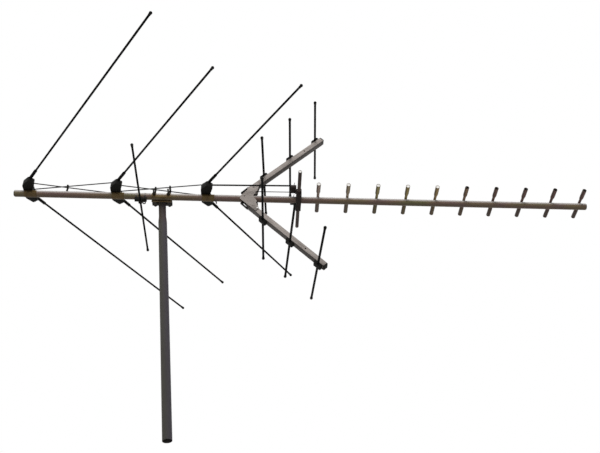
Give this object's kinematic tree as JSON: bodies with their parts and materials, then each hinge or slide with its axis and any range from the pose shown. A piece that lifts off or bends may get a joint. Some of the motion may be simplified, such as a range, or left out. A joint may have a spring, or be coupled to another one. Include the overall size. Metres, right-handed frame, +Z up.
{
  "type": "outdoor tv antenna",
  "caption": "Outdoor television antenna on a short mast: a long boom with swept rod pairs, a rod corner reflector, a dipole and a row of short tube directors.",
  "frame": {"origin": "centre of the mast's foot", "axes": "+Z up the mast, +X forward along the boom towards the directors, Y across the boom"},
  "size_m": [2.1609, 1.6066, 1.2451],
  "materials": {
    "galvanised_mast": "weathered zinc",
    "bronzed_aluminium": "bronze anodised",
    "pale_aluminium": "mill finish",
    "dark_rod": "dark satin",
    "yellow_zinc": "yellow passivated zinc",
    "dark_steel": "dark zinc",
    "line_wire": "dark drawn wire",
    "black_plastic": "moulded black"
  },
  "bodies": {
    "mast": {"mast_tube": "galvanised_mast"},
    "antenna": {"arm_caps": "black_plastic", "arm_stops": "black_plastic", "boom_caps": "black_plastic", "boom_tube": "bronzed_aluminium", "clamp_bolts": "dark_steel", "clamp_front_plate": "yellow_zinc", "clamp_mast_jaw": "dark_steel", "clamp_mast_saddle": "yellow_zinc", "dipole_half_far": "pale_aluminium", "dipole_half_near": "pale_aluminium", "dipole_housing": "black_plastic", "director_1": "bronzed_aluminium", "director_10": "bronzed_aluminium", "director_2": "bronzed_aluminium", "director_3": "bronzed_aluminium", "director_4": "bronzed_aluminium", "director_5": "bronzed_aluminium", "director_6": "bronzed_aluminium", "director_7": "bronzed_aluminium", "director_8": "bronzed_aluminium", "director_9": "bronzed_aluminium", "feed_block_far": "black_plastic", "feed_block_near": "black_plastic", "feed_line_far": "line_wire", "feed_line_near": "line_wire", "front_insulator": "black_plastic", "front_rod_far": "dark_rod", "front_rod_near": "dark_rod", "hub_plate_far": "pale_aluminium", "hub_plate_near": "pale_aluminium", "lower_arm": "pale_aluminium", "lower_reflector_rod_1": "dark_rod", "lower_reflector_rod_2": "dark_rod", "lower_reflector_rod_3": "dark_rod", "middle_insulator": "black_plastic", "middle_rod_far": "dark_rod", "middle_rod_near": "dark_rod", "phase_wire_front_far": "line_wire", "phase_wire_front_near": "line_wire", "phase_wire_rear_far": "line_wire", "phase_wire_rear_near": "line_wire", "rear_insulator": "black_plastic", "rear_rod_far": "dark_rod", "rear_rod_near": "dark_rod", "reflector_grips": "black_plastic", "straight_rod": "dark_rod", "straight_rod_clip": "black_plastic", "stub_wire": "line_wire", "upper_arm": "pale_aluminium", "upper_reflector_rod_1": "dark_rod", "upper_reflector_rod_2": "dark_rod", "upper_reflector_rod_3": "dark_rod", "wire_standoffs": "black_plastic"}
  },
  "joints": [
    {"name": "aim", "type": "hinge", "parent": "mast", "child": "antenna", "pos_m": [0, 0, 0.984], "axis": [0, 0, 1], "continuous": true}
  ]
}
